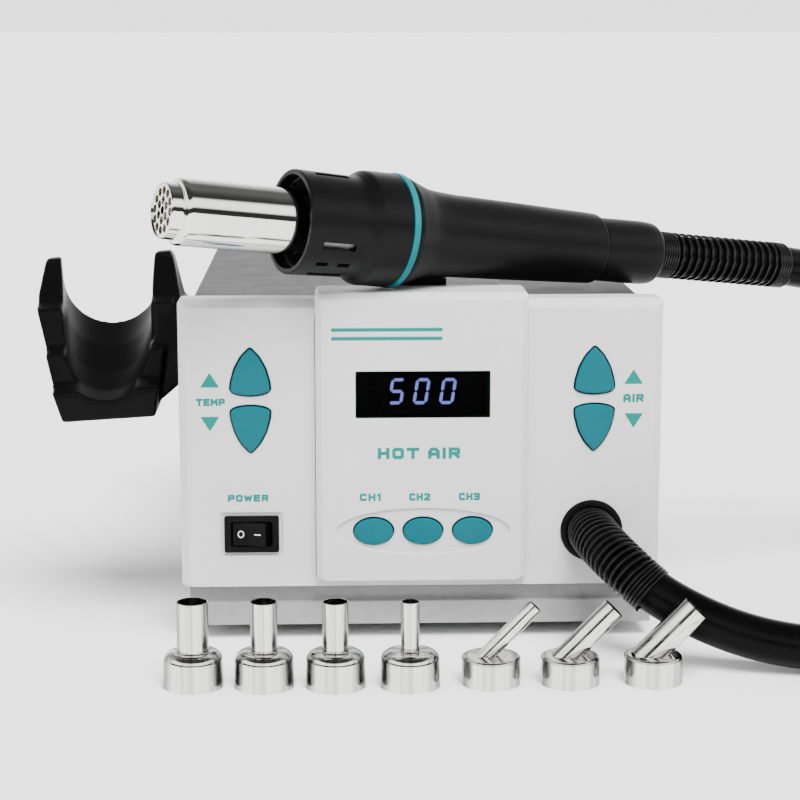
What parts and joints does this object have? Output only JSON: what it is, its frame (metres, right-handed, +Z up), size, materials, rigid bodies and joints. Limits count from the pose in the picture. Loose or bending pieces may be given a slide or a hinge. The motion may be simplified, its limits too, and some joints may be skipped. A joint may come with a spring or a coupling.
{
  "type": "hot air station",
  "caption": "Bench hot air station: box with display, push buttons and rocker switch, hose with a barrel handle resting on top, side cradle and loose nozzles.",
  "frame": {"origin": "on the table, under the middle of the object without its free hose", "axes": "+Z up, +X to the right as seen from the front, +Y from the front panel to the rear panel"},
  "size_m": [0.5206, 0.317, 0.1859],
  "materials": {
    "case_plastic": "fine satin grain, moulded",
    "base_paint": "satin paint",
    "cover_paint": "fine textured paint",
    "smoked_window": "clear smoked acrylic",
    "display_black": "matt",
    "led": "lit",
    "board": "solder mask",
    "switch_black": "satin",
    "button_teal": "satin",
    "ring_teal": "satin",
    "rubber_black": "soft sheen",
    "spring_black": "blackened wire",
    "blower_black": "moulded",
    "motor_steel": "zinc plated",
    "core_steel": "varnished laminations",
    "winding": "enamelled wire under tape",
    "components": "mixed",
    "socket_black": "moulded",
    "screw_steel": "zinc plated",
    "cradle_black": "fine grain, moulded",
    "handle_black": "satin, moulded",
    "polished_steel": "mirror polished",
    "ceramic": "unglazed",
    "mica": "laminated"
  },
  "bodies": {
    "station": {"chassis_base": "base_paint", "top_cover": "cover_paint", "rear_panel": "cover_paint", "front_bezel": "case_plastic", "centre_console": "case_plastic", "display_window": "smoked_window", "display_module": "display_black", "display_digits": "led", "control_board": "board", "tact_switches": "switch_black", "switch_frame": "switch_black", "rocker_pin": "screw_steel", "hose_gland": "rubber_black", "station_spring": "spring_black", "air_duct": "rubber_black", "blower_housing": "blower_black", "blower_motor": "motor_steel", "transformer_core": "core_steel", "transformer_winding": "winding", "power_board": "board", "power_components": "components", "inlet_socket": "socket_black", "inlet_pins": "screw_steel", "fuse_holder": "socket_black", "feet": "rubber_black", "foot_screws": "screw_steel", "cover_screws": "screw_steel", "cradle": "cradle_black", "cradle_screws": "screw_steel", "cradle_magnet": "screw_steel", "rest_block": "rubber_black", "hose": "rubber_black"},
    "power_rocker": {"power_rocker": "switch_black"},
    "blower_impeller": {"blower_impeller": "blower_black"},
    "handle": {"grip": "handle_black", "grip_tail": "handle_black", "front_guard": "handle_black", "trim_ring": "ring_teal", "barrel": "polished_steel", "barrel_grille": "polished_steel", "heater_core": "ceramic", "mica_sleeve": "mica", "handle_spring": "spring_black", "handle_hose_end": "rubber_black"},
    "temp_up_button": {"temp_up_button": "button_teal"},
    "temp_down_button": {"temp_down_button": "button_teal"},
    "air_up_button": {"air_up_button": "button_teal"},
    "air_down_button": {"air_down_button": "button_teal"},
    "ch1_button": {"ch1_button": "button_teal"},
    "ch2_button": {"ch2_button": "button_teal"},
    "ch3_button": {"ch3_button": "button_teal"},
    "nozzle_1": {"nozzle_1": "polished_steel"},
    "nozzle_2": {"nozzle_2": "polished_steel"},
    "nozzle_3": {"nozzle_3": "polished_steel"},
    "nozzle_4": {"nozzle_4": "polished_steel"},
    "nozzle_5": {"nozzle_5": "polished_steel"},
    "nozzle_6": {"nozzle_6": "polished_steel"},
    "nozzle_7": {"nozzle_7": "polished_steel"}
  },
  "joints": [
    {"name": "power_rocker_tilt", "type": "hinge", "parent": "station", "child": "power_rocker", "pos_m": [-0.07097, -0.08457, 0.043], "axis": [0, 0, 1], "range_deg": [0, 20]},
    {"name": "blower_spin", "type": "hinge", "parent": "station", "child": "blower_impeller", "pos_m": [0.03533, 0.01883, 0.04], "axis": [0, 0, 1], "continuous": true},
    {"name": "handle_lift", "type": "slide", "parent": "station", "child": "handle", "axis": [0, 0, 1], "range_m": [0, 0.08]},
    {"name": "temp_up_press", "type": "slide", "parent": "station", "child": "temp_up_button", "axis": [0, 1, 0], "range_m": [0, 0.0012], "stiffness_N_per_m": 400, "springref_m": -0.001},
    {"name": "temp_down_press", "type": "slide", "parent": "station", "child": "temp_down_button", "axis": [0, 1, 0], "range_m": [0, 0.0012], "stiffness_N_per_m": 400, "springref_m": -0.001},
    {"name": "air_up_press", "type": "slide", "parent": "station", "child": "air_up_button", "axis": [0, 1, 0], "range_m": [0, 0.0012], "stiffness_N_per_m": 400, "springref_m": -0.001},
    {"name": "air_down_press", "type": "slide", "parent": "station", "child": "air_down_button", "axis": [0, 1, 0], "range_m": [0, 0.0012], "stiffness_N_per_m": 400, "springref_m": -0.001},
    {"name": "ch1_press", "type": "slide", "parent": "station", "child": "ch1_button", "axis": [0, 1, 0], "range_m": [0, 0.0012], "stiffness_N_per_m": 400, "springref_m": -0.001},
    {"name": "ch2_press", "type": "slide", "parent": "station", "child": "ch2_button", "axis": [0, 1, 0], "range_m": [0, 0.0012], "stiffness_N_per_m": 400, "springref_m": -0.001},
    {"name": "ch3_press", "type": "slide", "parent": "station", "child": "ch3_button", "axis": [0, 1, 0], "range_m": [0, 0.0012], "stiffness_N_per_m": 400, "springref_m": -0.001},
    {"name": "nozzle_1_take", "type": "slide", "parent": "station", "child": "nozzle_1", "axis": [0, -1, 0], "range_m": [0, 0.05]},
    {"name": "nozzle_2_take", "type": "slide", "parent": "station", "child": "nozzle_2", "axis": [0, -1, 0], "range_m": [0, 0.05]},
    {"name": "nozzle_3_take", "type": "slide", "parent": "station", "child": "nozzle_3", "axis": [0, -1, 0], "range_m": [0, 0.05]},
    {"name": "nozzle_4_take", "type": "slide", "parent": "station", "child": "nozzle_4", "axis": [0, -1, 0], "range_m": [0, 0.05]},
    {"name": "nozzle_5_take", "type": "slide", "parent": "station", "child": "nozzle_5", "axis": [0, -1, 0], "range_m": [0, 0.05]},
    {"name": "nozzle_6_take", "type": "slide", "parent": "station", "child": "nozzle_6", "axis": [0, -1, 0], "range_m": [0, 0.05]},
    {"name": "nozzle_7_take", "type": "slide", "parent": "station", "child": "nozzle_7", "axis": [0, -1, 0], "range_m": [0, 0.05]}
  ]
}
